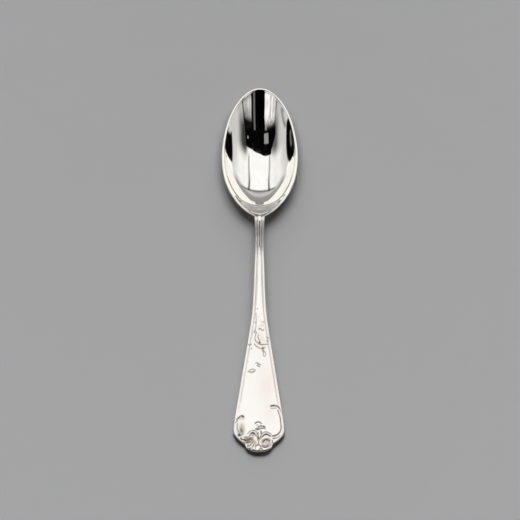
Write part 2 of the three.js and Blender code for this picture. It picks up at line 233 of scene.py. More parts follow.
def bottomHeight(x, y):  # even plate, bowl back, and a rounded spine that ends as the drop under the heel
    b, p = bowlShape, spoonProfile
    q = (eggSquared(y, heelY, tipY, bowlHalf) - x * x) / bowlHalf ** 2
    inBowl = smooth(y, neckLowY, heelY + 4.0)
    edge = p["handleEdge"] + (b["rimEdge"] - p["handleEdge"]) * inBowl
    thick = p["endThickness"] + b["restSink"]
    toNeck = smooth(y, waistY, neckLowY)
    thick = thick + (p["neckThickness"] - p["endThickness"]) * toNeck
    u = np.clip((y - heelY) / b["dropLength"], 0.0, 1.0)
    tongue = spoonPlan["neckWidth"] / 2 + spoonPlan["stemSwell"] + b["dropSpread"] * u
    tongue = tongue * np.sqrt(1.0 - u * u)
    spineHalf = np.where(u > 0.0, tongue, b["spineShare"] * outlineHalf(y))
    t = np.clip(np.abs(x) / np.maximum(spineHalf, 0.01), 0.0, 1.0)
    spine = (thick - edge) * (1.0 - u * u) * (1.0 - t * t) ** b["spinePower"]
    z = topLine(y) - edge - backDepth * leanAt(y) * np.where(q > 0.0, hollow(q, 0.0), 0.0) - spine
    return np.maximum(z, 0.0)


def curveThrough(points, steps=8):  # Catmull-Rom curve: each span is a cubic through its two points
    p = np.array([points[0], *points, points[-1]], float)
    a, b, c, d = p[:-3, None], p[1:-2, None], p[2:-1, None], p[3:, None]
    t = np.linspace(0.0, 1.0, steps, endpoint=False)[None, :, None]
    spans = b + 0.5 * t * (c - a + t * (2.0 * a - 5.0 * b + 4.0 * c - d + t * (3.0 * (b - c) + d - a)))
    return np.concatenate([spans.reshape(-1, 2), p[-1:]])


def strokeDistance(x, e, points, reach):  # distance to the nearest piece of the curve, 9 where far away
    line = curveThrough(points)
    lo, hi = line.min(0) - reach, line.max(0) + reach
    box = (x > lo[0]) & (x < hi[0]) & (e > lo[1]) & (e < hi[1])
    start, step = line[:-1], np.diff(line, axis=0)
    px, pe = x[box][:, None] - start[:, 0], e[box][:, None] - start[:, 1]
    t = np.clip((px * step[:, 0] + pe * step[:, 1]) / np.maximum((step ** 2).sum(1), 1e-9), 0.0, 1.0)
    far = np.full(x.shape, 9.0)
    far[box] = np.hypot(px - t * step[:, 0], pe - t * step[:, 1]).min(1)
    return far


def bell(d, width):  # 1 on the line, falling as a bell curve
    return np.exp(-((d / width) ** 2))


# across and from the handle end, in millimetres: raised scrolls, then the cut lines beside them
endScrolls = {
    "rise": 0.22, "width": 0.5, "reach": 2.0,
    "lines": [
        [(4.6, 17.2), (5.8, 17.3), (7.0, 17.0), (8.3, 15.6), (9.0, 12.4),
         (9.2, 9.4), (8.5, 7.3), (7.0, 5.9), (5.4, 5.6)],
        [(-5.9, 13.0), (-6.8, 13.2), (-8.2, 12.2), (-9.1, 10.2),
         (-9.0, 8.4), (-8.2, 6.9), (-6.9, 5.9), (-6.2, 6.6)],
        [(-4.3, 5.4), (-3.9, 6.9), (-2.5, 7.9), (-1.1, 7.4), (-0.6, 6.3)],
        [(0.8, 5.3), (1.7, 6.9), (3.0, 7.3), (4.5, 6.5)],
    ],
}
endCuts = {  # a dot is its strength, its place and its radius
    "depth": 0.13, "width": 0.19, "reach": 1.2, "film": 0.95,
    "lines": [
        [(4.5, 17.9), (5.8, 18.1), (6.9, 17.9), (8.0, 16.9), (8.6, 15.4)],
        [(7.3, 15.9), (8.1, 13.6), (8.4, 11.0), (8.5, 9.2), (7.9, 7.7), (6.6, 6.6), (5.1, 6.2)],
        [(-8.5, 12.6), (-7.5, 13.6), (-6.5, 14.1), (-5.8, 13.7)],
        [(-9.1, 11.4), (-8.2, 12.1)],
        [(-8.2, 10.8), (-8.3, 9.0), (-7.4, 7.3)],
        [(-7.8, 7.0), (-7.0, 6.5), (-6.2, 7.2)],
        [(-7.1, 5.0), (-5.6, 4.6), (-3.9, 4.6), (-3.0, 5.0)],
        [(-3.6, 6.1), (-3.1, 6.9), (-2.3, 7.2), (-1.5, 6.8), (-1.0, 6.1)],
        [(-0.4, 7.6), (-0.3, 5.8), (-0.4, 4.5)],
        [(1.0, 7.6), (0.8, 6.2), (0.0, 4.5), (-0.3, 2.6)],
        [(1.1, 5.6), (1.9, 6.4), (3.0, 6.7), (4.3, 6.0)],
        [(-1.5, 11.0), (-0.8, 11.5), (0.3, 11.5), (0.9, 11.0)],
        [(1.5, 10.0), (2.2, 9.8), (2.4, 9.0)],
        [(-1.3, 8.8), (-0.7, 9.1), (-0.2, 8.6)],
        [(0.2, 0.9), (0.75, 1.5), (1.3, 0.9)],
        # painted shade in the valley near the end, laid over a real cut
        [(-1.2, 2.1), (-0.3, 2.9), (0.7, 2.2)],
        [(4.4, 2.6), (5.1, 3.4), (5.2, 4.4)],
    ],
    "dots": [
        (1.2, -6.2, 13.7, 0.4), (1.1, -7.7, 13.2, 0.35), (1.2, -0.25, 5.4, 0.4), (1.2, 0.85, 7.1, 0.35),
        # the dot at (-2.3, 6.7) is painted shade filling the arch over the shell, over a shallow dip
        (1.0, -0.6, 7.1, 0.35), (1.2, -7.5, 6.5, 0.6), (0.8, -2.3, 6.7, 0.7), (1.0, 2.8, 4.9, 0.3),
        (0.8, 1.75, 3.8, 0.3), (0.8, 1.5, 2.2, 0.35), (0.8, 4.2, 4.3, 0.3),
    ],
}
endShell = {
    "at": (-0.7, 5.6), "near": 1.2, "far": 5.6, "from": 178.0, "to": 262.0,
    "ribs": 5, "rise": 0.3, "film": 0.75, "ease": (0.8, 1.2), "sides": (-0.06, 0.04), "wave": (0.2, 0.8),
    "cutFrom": 0.55,
}
endFlower = {
    "at": (0.45, 9.4), "radius": 1.75, "petals": 5, "rise": 0.4, "turn": 0.35, "reach": 0.62, "swing": 0.38,
    "petalEdge": (-0.25, 0.1), "eye": (0.12, 0.45), "boss": 0.6, "bossWidth": 0.2,
    "ring": 0.3, "ringWidth": 0.1, "film": 0.7,
}
endCartouche = {
    "at": (2.7, 3.45), "long": 2.25, "short": 1.65, "turn": 18.0, "rise": 0.3, "ring": 0.86,
    "ringWidth": 0.16, "field": (0.62, 0.76), "stipple": 0.08, "waves": ((6.6, 1.4), (-0.9, 6.2)),
    "film": 0.2, "dotFilm": 0.3, "line": 0.68, "lineWidth": 0.06, "lineFilm": 0.7,
}
struckEdge = (0.3, 0.9)  # relief fades out between these distances from the outline
heelMark = {"inset": 0.95, "width": 0.32, "film": 0.5, "besideNeck": (2.6, 4.0)}
# painted shade: a dark band across the stem by the neck, standing in for its darker reflections; the edges
# entry evenly darkens the rolled edges and underside
neckAndEdgeDarkening = {"at": 11.5, "wide": 6.0, "film": 0.2, "edges": 0.1}
# a shallow dip at the left of the end; its dark film is painted shade in the hollow
endDishAndShade = {"at": (-6.6, 8.5), "wide": 1.0, "long": 2.1, "depth": 0.14, "film": 0.85}
patinaLook = {
    "rim": 0.3, "rimReach": (0.3, 3.0),
    "spots": [  # strength, place, and how wide and long
        (0.8, (-2.5, 4.2), (4.5, 3.0)), (0.9, (2.8, 3.6), (2.6, 2.4)), (0.7, (0.2, 43.0), (3.2, 5.0)),
        (0.45, (-7.4, 10.5), (1.8, 3.5)), (0.35, (3.4, 14.0), (3.0, 4.0)), (0.6, (3.0, 26.5), (4.2, 8.0)),
    ],
}
sprayScrolls = {
    "rise": 0.11, "width": 0.42, "reach": 2.0,
    "lines": [
        [(-2.1, 46.9), (-1.5, 47.0), (-2.2, 45.6), (-2.4, 43.9),
         (-1.6, 42.2), (-0.2, 41.4), (1.6, 41.2), (2.8, 42.0)],
        [(-0.2, 45.6), (0.6, 44.6), (0.9, 43.4), (1.9, 42.8)],
        [(0.6, 53.6), (0.1, 51.6), (0.7, 49.8), (0.1, 48.2)],
        [(1.9, 39.2), (2.2, 38.1), (2.0, 37.2)],
        [(-3.9, 41.2), (-3.2, 40.6), (-3.1, 39.6)],
        [(-4.0, 34.7), (-3.0, 34.2), (-2.4, 33.2)],
        [(-4.0, 31.3), (-2.8, 31.6), (-1.5, 31.5)],
        [(-1.2, 34.0), (-0.3, 33.8), (0.5, 33.3)],
        [(3.0, 44.0), (3.5, 43.6)],
    ],
}
sprayCuts = {
    "depth": 0.11, "width": 0.16, "reach": 1.2, "film": 0.65,
    "lines": [
        [(-2.1, 46.5), (-1.0, 46.5), (-1.4, 45.6), (-1.65, 44.2), (-1.1, 42.8), (-0.1, 42.4)],
        [(-0.3, 45.3), (-0.5, 44.5), (0.3, 43.1)],
        [(0.2, 41.8), (1.8, 41.7), (3.2, 41.7)],
        [(-1.9, 41.8), (-1.2, 41.0), (-0.3, 40.5), (1.1, 40.0), (2.3, 40.6)],
        [(1.7, 39.3), (2.6, 38.1), (2.1, 36.9), (1.6, 37.8), (1.7, 39.3)],
        [(-4.0, 41.7), (-3.0, 41.8)],
        [(3.0, 44.6), (3.8, 44.2)],
        [(2.9, 43.2), (3.5, 43.0)],
        [(-1.3, 34.5), (-0.3, 34.4), (0.6, 33.8)],
        [(-0.8, 33.4), (0.2, 33.0)],
        [(-4.3, 31.0), (-3.0, 32.1), (-1.4, 31.6), (-2.6, 30.8), (-4.3, 31.0)],
        [(-1.3, 54.0), (-1.2, 50.5), (-1.5, 47.2)],
        [(-0.2, 47.5), (0.5, 47.9), (1.1, 47.2), (1.8, 47.5)],
    ],
    "dots": [
        (1.6, 0.15, 42.4, 0.42), (1.6, 1.43, 40.1, 0.45), (0.9, -1.5, 50.3, 0.3), (1.4, -1.66, 46.7, 0.42),
        (1.0, -2.9, 40.1, 0.25), (0.9, -0.77, 55.6, 0.3), (1.3, 1.6, 39.2, 0.4), (1.2, -0.2, 34.1, 0.38),
        (0.6, 1.6, 50.4, 0.4), (0.4, 1.4, 49.1, 0.5),
    ],
}


def scrollRelief(x, e, scrolls, cuts):  # highest raised line less the deepest cut, and the cuts' dark mask: tarnish, with painted shade in two end marks
    high = np.zeros_like(x)
    for line in scrolls["lines"]:
        away = strokeDistance(x, e, line, scrolls["reach"])
        high = np.maximum(high, scrolls["rise"] * bell(away, scrolls["width"]))
    deep = np.zeros_like(x)
    for line in cuts["lines"]:
        deep = np.maximum(deep, bell(strokeDistance(x, e, line, cuts["reach"]), cuts["width"]))
    for level, atX, atE, radius in cuts["dots"]:
        deep = np.maximum(deep, level * bell(np.hypot(x - atX, e - atE), radius))
    return high - cuts["depth"] * deep, deep


def shellRelief(x, e):  # ribs round a point, as a cosine of the angle inside a ring sector
    s = endShell
    r = np.hypot(x - s["at"][0], e - s["at"][1])
    turn = np.degrees(np.arctan2(e - s["at"][1], x - s["at"][0])) % 360.0
    along = (turn - s["from"]) / (s["to"] - s["from"])
    inside = smooth(r - s["near"], 0.0, s["ease"][0]) * smooth(s["far"] - r, 0.0, s["ease"][1])
    inside = inside * smooth(along, *s["sides"]) * smooth(1.0 - along, *s["sides"])
    rib = np.cos(2.0 * np.pi * s["ribs"] * along)
    return s["rise"] * inside * (s["wave"][0] - s["wave"][1] * rib), inside * smooth(rib, s["cutFrom"], 1.0)


def flowerRelief(x, e):  # petals as a cosine round the centre, with a small boss
    f = endFlower
    dx, de = x - f["at"][0], e - f["at"][1]
    r = np.hypot(dx, de) / f["radius"]
    petal = f["reach"] + f["swing"] * np.cos(f["petals"] * np.arctan2(de, dx) + f["turn"])
    high = f["rise"] * (1.0 - smooth(r - petal, *f["petalEdge"])) * smooth(r, *f["eye"])
    boss = f["boss"] * f["rise"] * bell(r, f["bossWidth"])
    return high + boss, bell(r - f["ring"], f["ringWidth"]) * f["film"]


def cartoucheRelief(x, e):  # oval ring round a hollow with a fine stipple of crossed sines
    c = endCartouche
    a = math.radians(c["turn"])
    dx, de = x - c["at"][0], e - c["at"][1]
    u = (dx * math.cos(a) + de * math.sin(a)) / c["long"]
    v = (de * math.cos(a) - dx * math.sin(a)) / c["short"]
    r = np.hypot(u, v)
    ring = c["rise"] * bell(r - c["ring"], c["ringWidth"])
    inside = 1.0 - smooth(r, *c["field"])
    dots = math.prod(np.sin(across * x + along * e) for across, along in c["waves"])
    film = inside * (c["film"] - c["dotFilm"] * dots) + c["lineFilm"] * bell(r - c["line"], c["lineWidth"])
    return ring + inside * c["stipple"] * dots, film


def edgeDistance(x, y):  # distance inside the outline, from the squared half width over its slope
    step = 0.02
    ahead, behind = np.minimum(y + step, tipY), np.maximum(y - step, endY)
    slope = (outlineHalf(ahead) ** 2 - outlineHalf(behind) ** 2) / (4.0 * step)
    return np.maximum(0.0, outlineHalf(y) ** 2 - x * x) / (2.0 * np.hypot(x, slope) + 0.05)


def patinaAt(x, y):  # warm film: a ramp along the outline plus bell curves over the struck work
    p = patinaLook
    film = p["rim"] * (1.0 - smooth(edgeDistance(x, y), *p["rimReach"]))
    for level, (atX, atE), (wide, long) in p["spots"]:
        film = film + level * bell(np.hypot((x - atX) / wide, (y - endY - atE) / long), 1.0)
    return np.clip(film, 0.0, 1.0)


def ornament(x, y):  # all struck relief of the handle, faded out toward the outline
    e = y - endY
    high, deep = scrollRelief(x, e, endScrolls, endCuts)
    upHigh, upDeep = scrollRelief(x, e, sprayScrolls, sprayCuts)
    shellHigh, shellDeep = shellRelief(x, e)
    flowerHigh, flowerDeep = flowerRelief(x, e)
    cartoucheHigh, cartoucheDeep = cartoucheRelief(x, e)
    # dark values: tarnish in the struck work, plus painted shade in the dish and in two of the end marks
    d = endDishAndShade
    dish = bell(np.hypot((x - d["at"][0]) / d["wide"], (e - d["at"][1]) / d["long"]), 1.0)
    z = high + upHigh + shellHigh + flowerHigh + cartoucheHigh - d["depth"] * dish
    dark = [endCuts["film"] * deep, sprayCuts["film"] * upDeep, endShell["film"] * shellDeep,
            flowerDeep, cartoucheDeep, d["film"] * dish]
    fade = smooth(edgeDistance(x, y), *struckEdge)
    return z * fade, np.maximum.reduce(dark) * fade


skinGrid = {
    "topColumns": 200, "bottomColumns": 64, "edgeColumns": 11, "topGather": 1.25, "bottomGather": 1.35,
    "lobeRows": 36, "terminalRows": 200, "handleRows": 200, "stemRows": 80, "neckRows": 40, "bowlRows": 250,
}


def rowPlaces():  # stations along the length, and the row numbers where the pieces meet
    g = skinGrid
    turn = np.linspace(0.0, np.pi / 2, g["lobeRows"] + 1)
    lobe = endY + spoonPlan["lobeDepth"] * (1.0 - np.cos(turn))
    spans = ((lobe[-1], terminalY, "terminalRows"), (terminalY, waistY, "handleRows"),
             (waistY, neckLowY, "stemRows"), (neckLowY, neckTopY, "neckRows"))
    parts = [lobe, *[np.linspace(start, stop, g[rows] + 1)[1:] for start, stop, rows in spans]]
    u = np.linspace(0.0, 1.0, g["bowlRows"] + 1)[1:]
    parts.append(neckTopY + (tipY - neckTopY) * np.sin(u * np.pi / 2))
    marks = np.cumsum([len(p) for p in parts]) - 1
    return np.concatenate(parts), [0, *marks[1:]]


def gathered(count, gather):  # places from -1 to 1, closer together near both ends, as a sine
    return np.sin(gather * np.linspace(-1.0, 1.0, count)) / math.sin(gather)


def heelLine(x, y):  # dark line a little inside the outline at the heel, as a bell curve, clear of the neck
    m = heelMark
    line = bell(edgeDistance(x, y) - m["inset"], m["width"]) * m["film"]
    line = line * heelRamp(y, "markStart") * (1.0 - heelRamp(y, "markEnd"))
    return line * smooth(np.abs(x), *m["besideNeck"])


def spoonSkin():  # closed loop per station: top rightwards, rolled edge, bottom leftwards, rolled edge
    y, marks = rowPlaces()
    h = 0.01
    ahead, behind = np.minimum(y + h, tipY), np.maximum(y - h, endY)
    halfSlope = (outlineHalf(ahead) ** 2 - outlineHalf(behind) ** 2) / (2.0 * (ahead - behind))
    w = outlineHalf(y)
    w[0] = w[-1] = 0.0
    size = np.maximum(np.hypot(w, halfSlope), 1e-9)
    outX, outY = w / size, -halfSlope / size
    roll = handleEdges["roll"] + (bowlShape["roll"] - handleEdges["roll"]) * smooth(y, neckLowY, heelY)
    roll = roll + handleEdges["endRoll"] * (1.0 - smooth(y - endY, *handleEdges["endRollReach"]))
    inX, inY = w - roll * outX, y - roll * outY
    spread = gathered(skinGrid["topColumns"], skinGrid["topGather"])
    topX, topY = inX[:, None] * spread, np.repeat(inY[:, None], len(spread), 1)
    topZ, reedCuts = topHeight(topX, topY)
    struckZ, struckDark = ornament(topX, topY)
    # painted shade: a dark band across the stem by the neck, standing in for its darker reflections; it
    # joins the groove tarnish in the dark mask
    neckPaintedShade = neckAndEdgeDarkening["film"] * bell(y - neckAndEdgeDarkening["at"], neckAndEdgeDarkening["wide"])[:, None]
    grooveTarnishAndNeckShade = handleEdges["grooveFilm"] * reedCuts + neckPaintedShade
    tarnishAndShade = np.maximum.reduce([grooveTarnishAndNeckShade, heelLine(topX, topY), struckDark])
    under = gathered(skinGrid["bottomColumns"], skinGrid["bottomGather"])[::-1]
    lowX, lowY = inX[:, None] * under, np.repeat(inY[:, None], len(under), 1)
    lowZ = bottomHeight(lowX, lowY)
    nudge = 0.06
    back = inX - nudge * outX, inY - nudge * outY
    topLean = np.clip((topZ[:, -1] - topHeight(*back)[0]) / nudge, *handleEdges["topLean"])
    lowLean = np.clip((lowZ[:, 0] - bottomHeight(*back)) / nudge, *handleEdges["lowLean"])
    topZ = topZ + struckZ
    u = np.linspace(0.0, 1.0, skinGrid["edgeColumns"] + 2)[None, 1:-1]
    bulge = u * (1.0 - u) * (4.0 * roll[:, None])  # a cubic: outward start, inward end
    edgeZ = topZ[:, -1:] * (1.0 - u * u * (3.0 - 2.0 * u)) + lowZ[:, :1] * u * u * (3.0 - 2.0 * u)
    edgeZ = edgeZ + bulge * ((1.0 - u) * topLean[:, None] + u * lowLean[:, None])
    edgeX, edgeY = inX[:, None] + bulge * outX[:, None], inY[:, None] + bulge * outY[:, None]
    x = np.concatenate([topX, edgeX, lowX, -edgeX[:, ::-1]], 1)
    yy = np.concatenate([topY, edgeY, lowY, edgeY[:, ::-1]], 1)
    z = np.concatenate([topZ, edgeZ, lowZ, edgeZ[:, ::-1]], 1)
    others = (edgeX, lowX, edgeX)
    # rolled edges and underside: the neck's painted shade plus an even light darkening
    dark = [tarnishAndShade, *[neckPaintedShade + np.full_like(part, neckAndEdgeDarkening["edges"]) for part in others]]
    film = [patinaAt(topX, topY), *[np.full_like(part, patinaLook["rim"]) for part in others]]
    maps = {"tarnishAndShade": np.concatenate(dark, 1), "patina": np.concatenate(film, 1)}
    return np.stack([x, yy, np.maximum(z, 0.0)], -1), maps, marks


def skinNormals(skin):  # cross product of the differences along and round, mirrored past both poles
    counts = [skinGrid[key] for key in ("topColumns", "edgeColumns", "bottomColumns")]
    top, right, low, left = np.split(np.arange(skin.shape[1]), np.cumsum(counts))
    mirror = np.concatenate([top[::-1], left[::-1], low[::-1], right[::-1]])
    wide = np.concatenate([skin[1:2, mirror], skin, skin[-2:-1, mirror]], 0)
    along = wide[2:] - wide[:-2]
    around = np.roll(skin, -1, 1) - np.roll(skin, 1, 1)
    n = np.cross(around, along)
    size = np.linalg.norm(n, axis=-1, keepdims=True)
    n = n / np.maximum(size, 1e-12)
    n[-1] = np.where(size[-1] < 1e-9, n[-2], n[-1])
    n[0] = np.where(size[0] < 1e-9, n[1], n[0])
    return n


skin, skinMaps, marks = spoonSkin()
normals = skinNormals(skin)
print("skin worked out:", skin.shape, "back depth", round(backDepth, 2))


def newObject(name, data):  # object of that data in the scene
    obj = bpy.data.objects.new(name, data)
    scene.collection.objects.link(obj)
    return obj


def skinPiece(name, node, material, first, last):  # rows first to last as one closed piece
    rows = skin[first:last + 1] * toMetres
    count, around = rows.shape[:2]
    ids = np.arange(count * around).reshape(count, around)
    beside = np.roll(ids, -1, 1)
    quads = np.stack([ids[:-1], beside[:-1], beside[1:], ids[1:]], -1).reshape(-1, 4)
    verts = [rows.reshape(-1, 3)]
    lay = [normals[first:last + 1].reshape(-1, 3)]
    skinCount = total = count * around
    caps = []
    ends = ((0, -1.0, first == 0), (count - 1, 1.0, last == len(skin) - 1))
    for end, outward, isPole in ends:  # flat cut faces where two pieces meet
        if isPole:
            continue
        verts.append(rows[end])
        lay.append(np.tile([0.0, outward, 0.0], (around, 1)))
        ring = np.arange(around) + total
        total += around
        caps.append(ring.tolist() if outward > 0 else ring[::-1].tolist())
    mesh = bpy.data.meshes.new(name)
    mesh.from_pydata(np.concatenate(verts).tolist(), [], quads.tolist() + caps)
    for key, values in skinMaps.items():
        whole = np.concatenate([values[first:last + 1].reshape(-1), np.zeros(total - skinCount)])
        mesh.attributes.new(key, "FLOAT", "POINT").data.foreach_set("value", whole.astype(np.float32))
    layData = mesh.attributes.new("lay", "FLOAT_VECTOR", "POINT").data
    layData.foreach_set("vector", np.concatenate(lay).astype(np.float32).ravel())
    bm = bmesh.new()
    bm.from_mesh(mesh)
    bmesh.ops.remove_doubles(bm, verts=bm.verts[:skinCount], dist=2e-7)  # closes the poles at both ends
    bmesh.ops.triangulate(bm, faces=[f for f in bm.faces if len(f.verts) > 4])
    bm.to_mesh(mesh)
    bm.free()
    keptLay = np.zeros(len(mesh.vertices) * 3, np.float32)
    mesh.attributes["lay"].data.foreach_get("vector", keptLay)
    mesh.shade_smooth()
    mesh.normals_split_custom_set_from_vertices(keptLay.reshape(-1, 3).tolist())
    mesh.attributes.remove(mesh.attributes["lay"])
    piece = newObject(name, mesh)
    mesh.materials.append(material)
    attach(piece, "root")
    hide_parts(node)
    print(name, len(mesh.vertices), "points", len(mesh.polygons), "faces")


def feed(socket, value):  # links a socket, or sets a plain value
    if hasattr(value, "is_linked"):
        socket.id_data.links.new(value, socket)
    else:
        socket.default_value = value


def feedAll(node, inputs):  # the same for several inputs of one node
    for key, value in inputs.items():
        feed(node.inputs[key], value)


def addNode(tree, kind, inputs=None, **values):  # shader node with its properties, then its inputs
    n = tree.nodes.new(kind)
    for key, value in values.items():
        setattr(n, key, value)
    feedAll(n, inputs or {})
    return n


def mathNode(operation, *values, clamp=False):  # the operation on sockets or numbers
    tree = next(v.id_data for v in values if hasattr(v, "is_linked"))
    n = addNode(tree, "ShaderNodeMath", dict(enumerate(values)), operation=operation, use_clamp=clamp)
    return n.outputs[0]


def product(first, *others):  # all of them multiplied
    for other in others:
        first = mathNode("MULTIPLY", first, other)
    return first


def rampNode(value, a, b, before=0.0, after=1.0):  # smooth step of value from a to b
    inputs = dict(enumerate((value, a, b, before, after)))
    return addNode(value.id_data, "ShaderNodeMapRange", inputs, interpolation_type="SMOOTHSTEP").outputs[0]


def stepAt(value, middle, soft, before=0.0, after=1.0):  # smooth step, soft wide to each side
    return rampNode(value, middle - soft, middle + soft, before, after)


def bandMask(value, lo, hi, soft):  # 1 between lo and hi, eased over soft at both ends
    return product(stepAt(value, lo, soft), stepAt(value, hi, soft, 1.0, 0.0))


def bumpMask(value, middle, width):  # 1 in the middle, easing to 0 at one width to each side
    return bandMask(value, middle - width / 2, middle + width / 2, width / 2)


def mixLevel(mask, low, high):  # low where the mask is 0, high where it is 1
    return addNode(mask.id_data, "ShaderNodeMix", {0: mask, 2: low, 3: high}, data_type="FLOAT").outputs[0]


def mixColour(mask, low, high):  # the same for colours
    return addNode(mask.id_data, "ShaderNodeMix", {0: mask, 6: low, 7: high}, data_type="RGBA").outputs[2]


def greyColour(level):  # the level as an even grey
    return addNode(level.id_data, "ShaderNodeCombineColor", {0: level, 1: level, 2: level}).outputs[0]


def darken(level, mask, depth):  # level times one less the mask's share
    return product(level, mathNode("SUBTRACT", 1.0, product(mask, depth)))


def noiseNode(place, scale, detail, space="3D"):  # noise between 0 and 1
    inputs = {"Vector": place, "Scale": scale, "Detail": detail}
    return addNode(place.id_data, "ShaderNodeTexNoise", inputs, noise_dimensions=space).outputs["Fac"]


def placeOf(tree, kind="Object"):  # the place as one vector, and its three parts
    place = addNode(tree, "ShaderNodeTexCoord").outputs[kind]
    return place, addNode(tree, "ShaderNodeSeparateXYZ", {0: place}).outputs


def newMaterial(name):  # material and its node tree
    mat = bpy.data.materials.new(name)
    mat.use_nodes = True
    return mat, mat.node_tree


silverLook = {
    "bowl": {
        "clean": (0.95, 0.932, 0.885, 1.0), "warm": (0.92, 0.87, 0.775, 1.0), "polish": (0.03, 0.03),
        "scuffs": 0.012, "scratches": 0.04, "bump": 0.035,
    },
    "handle": {
        "clean": (0.928, 0.902, 0.866, 1.0), "warm": (0.83, 0.765, 0.69, 1.0), "polish": (0.17, 0.09),
        "scuffs": 0.05, "scratches": 0.08, "bump": 0.09,
    },
    # dark colour: tarnish in the cuts, and painted shade where the mask carries it
    "tarnishAndShade": (0.115, 0.088, 0.055, 1.0), "dull": 0.25, "polishAlong": (-0.045, 0.0),
    "scuffRise": 0.3, "bumpHeight": 0.000012,
}
wearLook = {  # noise scale and detail, then the part of its range that is used
    "clouds": (60.0, 3.0, 0.35, 0.65), "scuffs": (700.0, 4.0, 0.35, 0.7),
    "thin": (0.66, 0.76), "down": 300.0,
    "scratches": ((0.1, 2400.0, 90.0), (0.7, 2000.0, 110.0), (-1.1, 2200.0, 100.0)),  # turn, across, along
}
filmLook = {"cloudy": (0.9, 0.35), "patchy": (0.5, 0.75)}  # share of the noise, and what is added


def newGroup(name, inputs, outputs):  # empty node group with its sockets, its input and its output node
    group = bpy.data.node_groups.new(name, "ShaderNodeTree")
    kinds = {"v": "NodeSocketVector", "f": "NodeSocketFloat", "c": "NodeSocketColor"}
    for side, sockets in (("INPUT", inputs), ("OUTPUT", outputs)):
        for label, kind in sockets:
            group.interface.new_socket(label, in_out=side, socket_type=kinds[kind])
    return group, addNode(group, "NodeGroupInput"), addNode(group, "NodeGroupOutput")


def makeWearGroup():  # wide clouds, small scuffs, and thin scratches as stretched noise in three directions
    group, entry, leave = newGroup(
        "silverWear", [("Place", "v")], [("Clouds", "f"), ("Scuffs", "f"), ("Scratches", "f")])
    place = entry.outputs["Place"]
    for key in ("clouds", "scuffs"):
        scale, detail, lo, hi = wearLook[key]
        mask = rampNode(noiseNode(place, scale, detail), lo, hi)
        feed(leave.inputs[key.capitalize()], mask)
    lines = 0.0
    for turn, across, along in wearLook["scratches"]:
        inputs = {"Vector": place, "Angle": turn}
        turned = addNode(group, "ShaderNodeVectorRotate", inputs, rotation_type="Z_AXIS")
        inputs = {0: turned.outputs[0], 1: (across, along, wearLook["down"])}
        pulled = addNode(group, "ShaderNodeVectorMath", inputs, operation="MULTIPLY")
        thin = rampNode(noiseNode(pulled.outputs[0], 1.0, 1.0), *wearLook["thin"])
        lines = mathNode("MAXIMUM", lines, thin)
    feed(leave.inputs["Scratches"], lines)
    return group


def makeFilmGroup():  # clean silver, warm film where patina and clouds agree, dark tarnish and painted shade in the cuts and the dish
    colours = [(label, "c") for label in ("Clean", "Warm", "TarnishAndShade")]
    masks = [(label, "f") for label in ("Patina", "Cuts", "Clouds", "Scuffs")]
    group, entry, leave = newGroup("silverFilm", colours + masks, [("Colour", "c"), ("Dull", "f")])
    given = entry.outputs
    share, more = filmLook["cloudy"]
    cloudy = mathNode("ADD", product(given["Clouds"], share), more)
    film = mathNode("MULTIPLY", given["Patina"], cloudy, clamp=True)
    share, more = filmLook["patchy"]
    patchy = mathNode("ADD", product(given["Scuffs"], share), more)
    dull = mathNode("MULTIPLY", given["Cuts"], patchy, clamp=True)
    warm = mixColour(film, given["Clean"], given["Warm"])
    feedAll(leave, {"Colour": mixColour(dull, warm, given["TarnishAndShade"]), "Dull": dull})
    return group


wearGroup = makeWearGroup()
filmGroup = makeFilmGroup()


def silverMaterial(name, look):  # mirror silver with film, tarnished cuts, painted shade in hollows, scuffs and scratches
    mat, tree = newMaterial(name)
    place, parts = placeOf(tree)
    wear = addNode(tree, "ShaderNodeGroup", {"Place": place}, node_tree=wearGroup).outputs
    patina, cuts = [addNode(tree, "ShaderNodeAttribute", attribute_name=key).outputs["Fac"]
                    for key in ("patina", "tarnishAndShade")]
    film = addNode(tree, "ShaderNodeGroup", {
        "Clean": look["clean"], "Warm": look["warm"], "TarnishAndShade": silverLook["tarnishAndShade"],
        "Patina": patina, "Cuts": cuts, "Clouds": wear["Clouds"], "Scuffs": wear["Scuffs"],
    }, node_tree=filmGroup).outputs
    rough = rampNode(parts[1], *silverLook["polishAlong"], *look["polish"])
    shares = (look["scuffs"], look["scratches"], silverLook["dull"])
    for mask, share in zip((wear["Scuffs"], wear["Scratches"], film["Dull"]), shares):
        rough = mathNode("ADD", rough, product(mask, share))
    grooves = mathNode("SUBTRACT", product(wear["Scuffs"], silverLook["scuffRise"]), wear["Scratches"])
    inputs = {"Strength": look["bump"], "Distance": silverLook["bumpHeight"], "Height": grooves}
    bump = addNode(tree, "ShaderNodeBump", inputs).outputs[0]
    inputs = {"Metallic": 1.0, "Base Color": film["Colour"], "Roughness": rough, "Normal": bump}
    feedAll(tree.nodes["Principled BSDF"], inputs)
    return mat


bowlSilver = silverMaterial("polishedBowlSilver", silverLook["bowl"])
handleSilver = silverMaterial("wornHandleSilver", silverLook["handle"])
skinPiece("terminal_silver", "terminal", handleSilver, marks[0], marks[1])
skinPiece("handle_silver", "handle", handleSilver, marks[1], marks[2])
skinPiece("stem_silver", "stem", handleSilver, marks[2], marks[3])
skinPiece("neck_silver", "neck", handleSilver, marks[3], marks[4])
skinPiece("bowl_silver", "bowl", bowlSilver, marks[4], marks[5])

floorLook = {"half": 1.5, "drop": -0.00005, "color": (0.36, 0.36, 0.366, 1.0), "rough": 0.9, "shine": 0.1}


def makeFloor():  # plain square under the spoon
    f = floorLook
    s, z = f["half"], f["drop"]
    mesh = bpy.data.meshes.new("table")
    mesh.from_pydata([(-s, -s, z), (s, -s, z), (s, s, z), (-s, s, z)], [], [(0, 1, 2, 3)])
    floor = newObject("table", mesh)
    mat, tree = newMaterial("greySheet")
    inputs = {"Base Color": f["color"], "Roughness": f["rough"], "Specular IOR Level": f["shine"]}
    feedAll(tree.nodes["Principled BSDF"], inputs)
    mesh.materials.append(mat)


makeFloor()

